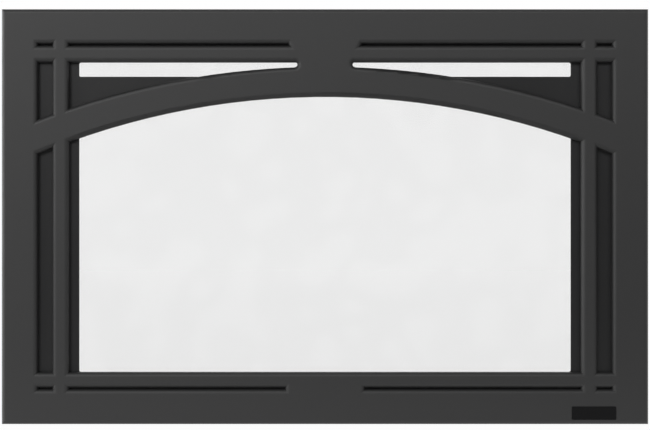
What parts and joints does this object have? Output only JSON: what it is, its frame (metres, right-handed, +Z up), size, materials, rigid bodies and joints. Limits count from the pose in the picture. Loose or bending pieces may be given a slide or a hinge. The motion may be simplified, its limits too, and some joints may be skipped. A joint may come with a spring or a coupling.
{
  "type": "fireplace screen front",
  "caption": "Black arched fireplace screen front: cast face with slots, mullions and keystone over a mesh-covered opening, on a steel frame that hangs on the fireplace.",
  "frame": {"origin": "bottom centre of the bounding box: the bottom edge of the face, midway across its width and midway in its whole depth", "axes": "+X to the right as seen from the room, +Y from the face back into the fireplace, +Z up"},
  "size_m": [1.0286, 0.058, 0.6604],
  "materials": {
    "painted_iron": "satin black stove paint",
    "painted_steel": "satin black",
    "mesh_wire": "matt black",
    "galvanised_steel": "dull zinc coating",
    "plated_fasteners": "zinc plated"
  },
  "bodies": {
    "root": {"face_casting": "painted_iron", "backing_plate": "painted_steel", "mesh_screen": "mesh_wire", "mesh_clamp_top": "painted_steel", "mesh_clamp_bottom": "painted_steel", "mesh_clamp_left": "painted_steel", "mesh_clamp_right": "painted_steel", "mesh_studs": "plated_fasteners", "mesh_nuts": "plated_fasteners", "frame_rail_top": "painted_steel", "frame_rail_bottom": "painted_steel", "frame_rail_left": "painted_steel", "frame_rail_right": "painted_steel", "frame_screws": "plated_fasteners", "frame_washers": "plated_fasteners", "corner_angle_top_left": "galvanised_steel", "corner_angle_top_right": "galvanised_steel", "corner_angle_bottom_left": "galvanised_steel", "corner_angle_bottom_right": "galvanised_steel", "corner_rivets": "plated_fasteners", "hanger_left": "galvanised_steel", "hanger_right": "galvanised_steel", "hanger_bolts": "plated_fasteners", "hanger_nuts": "plated_fasteners", "lower_tab_left": "painted_steel", "lower_tab_right": "painted_steel", "tab_rivets": "plated_fasteners"}
  },
  "joints": []
}
